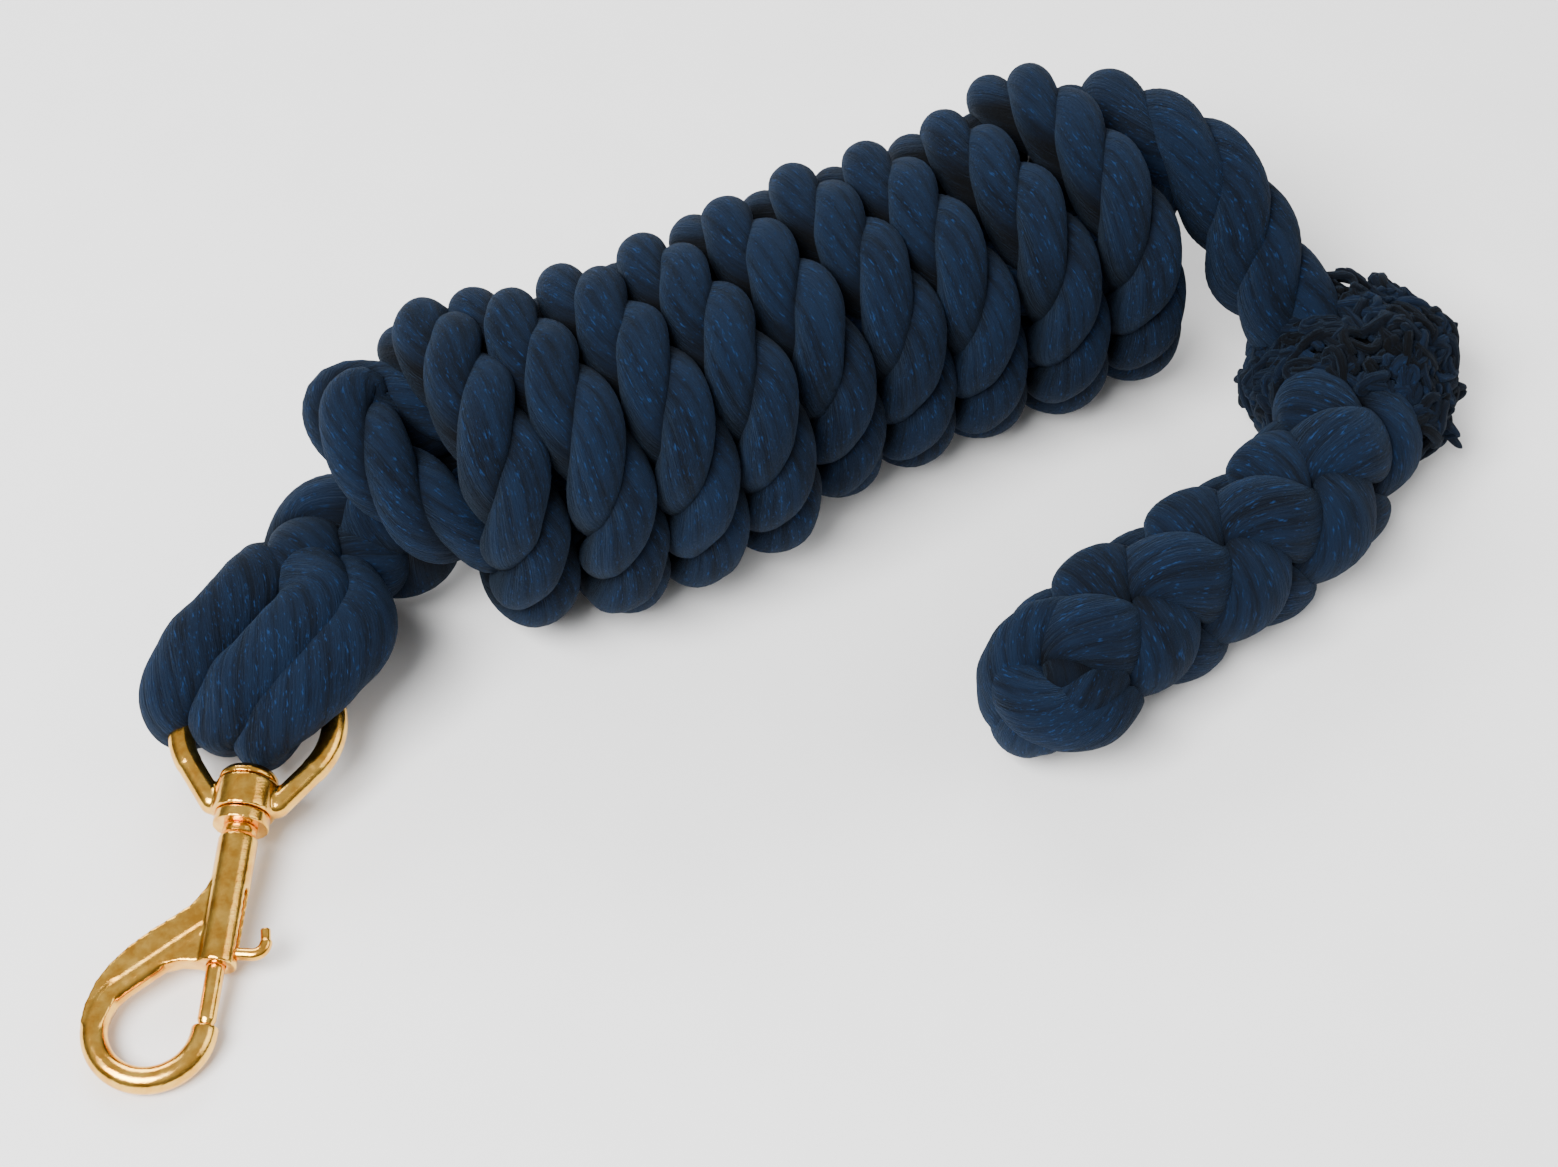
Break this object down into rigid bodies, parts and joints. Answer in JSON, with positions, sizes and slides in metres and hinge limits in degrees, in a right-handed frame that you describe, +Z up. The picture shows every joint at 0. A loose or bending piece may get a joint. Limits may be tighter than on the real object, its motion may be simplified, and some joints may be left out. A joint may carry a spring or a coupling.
{
  "type": "horse lead rope",
  "caption": "Soft three-strand lead rope put up in a hank, with an eye splice on a swivel-eye bolt snap and a back-spliced tail with a frayed collar.",
  "frame": {"origin": "on the ground under the middle of the whole object's box", "axes": "+X along the hank from the snap's end to the tail's end, +Z up"},
  "size_m": [0.3413, 0.1493, 0.0732],
  "materials": {
    "rope": "soft spun cotton yarn, matt, navy",
    "frayed_yarn": "loose cotton yarn ends, matt, navy",
    "brass_plate": "bright brass plate over a cast body, lightly worn",
    "spring_steel": "bright spring wire"
  },
  "bodies": {
    "rope": {"hank": "rope", "loose_turn": "rope", "eye_splice": "rope", "eye_bight": "rope", "tail_rope": "rope", "strand_tail_1": "frayed_yarn", "strand_tail_2": "frayed_yarn", "strand_tail_3": "frayed_yarn", "back_splice": "rope", "crown_knot": "rope"},
    "eye": {"swivel_eye": "brass_plate"},
    "hook": {"swivel_rivet": "brass_plate", "swivel_washer": "brass_plate", "hook_body": "brass_plate", "bolt_spring": "spring_steel"},
    "bolt": {"bolt": "brass_plate", "thumb_lever": "brass_plate"}
  },
  "joints": [
    {"name": "eye_swing", "type": "hinge", "parent": "rope", "child": "eye", "pos_m": [-0.1035, 0.0242, 0.0175], "axis": [-0.8572, 0.515, 0], "range_deg": [-80, 80]},
    {"name": "swivel_spin", "type": "hinge", "parent": "eye", "child": "hook", "pos_m": [-0.11979, -0.00291, 0.0126], "axis": [-0.509, -0.8471, -0.153], "continuous": true},
    {"name": "bolt_slide", "type": "slide", "parent": "hook", "child": "bolt", "axis": [0.509, 0.8471, 0.153], "range_m": [0, 0.0125], "stiffness_N_per_m": 400, "springref_m": -0.01, "deforming": ["bolt_spring"]}
  ]
}
